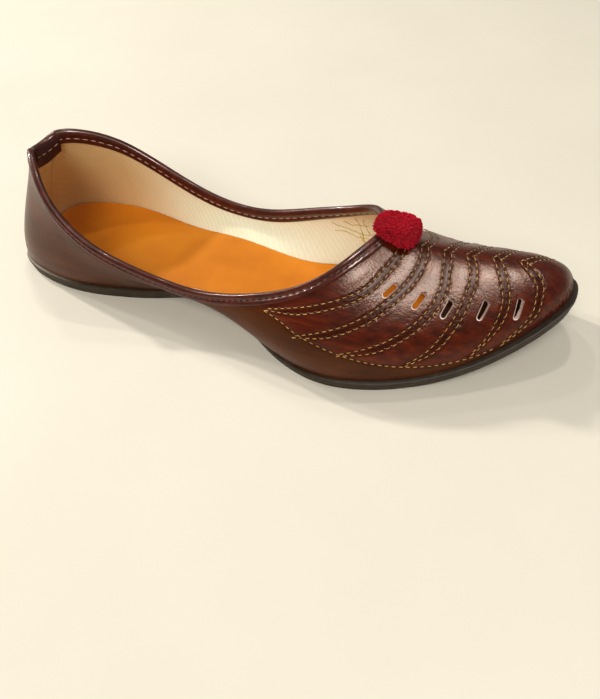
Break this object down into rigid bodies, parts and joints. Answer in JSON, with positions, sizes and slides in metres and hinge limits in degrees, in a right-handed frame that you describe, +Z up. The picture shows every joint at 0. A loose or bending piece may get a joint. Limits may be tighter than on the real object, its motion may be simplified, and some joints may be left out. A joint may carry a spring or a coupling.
{
  "type": "jutti",
  "caption": "Low slip-on leather shoe for the right foot with a pointed, turned-up toe, slit and stitched vamp, bound collar, flat rubber sole and a wool pompom on the throat.",
  "frame": {"origin": "on the floor under the middle of the shoe's bounding box", "axes": "+X from heel to toe, +Y toward the inner side of the foot, +Z up"},
  "size_m": [0.2534, 0.0842, 0.0574],
  "materials": {
    "outsole_rubber": "matte black moulded rubber",
    "upper_leather": "glossy reddish brown",
    "insole_sock": "satin orange tan",
    "binding_leather": "semi-gloss maroon brown",
    "tab_leather": "semi-gloss dark maroon",
    "pompom_wool": "fuzzy crimson wool"
  },
  "bodies": {
    "root": {"outsole": "outsole_rubber", "upper": "upper_leather", "insole": "insole_sock", "collar_binding": "binding_leather", "heel_tab": "tab_leather", "pompom": "pompom_wool"}
  },
  "joints": []
}
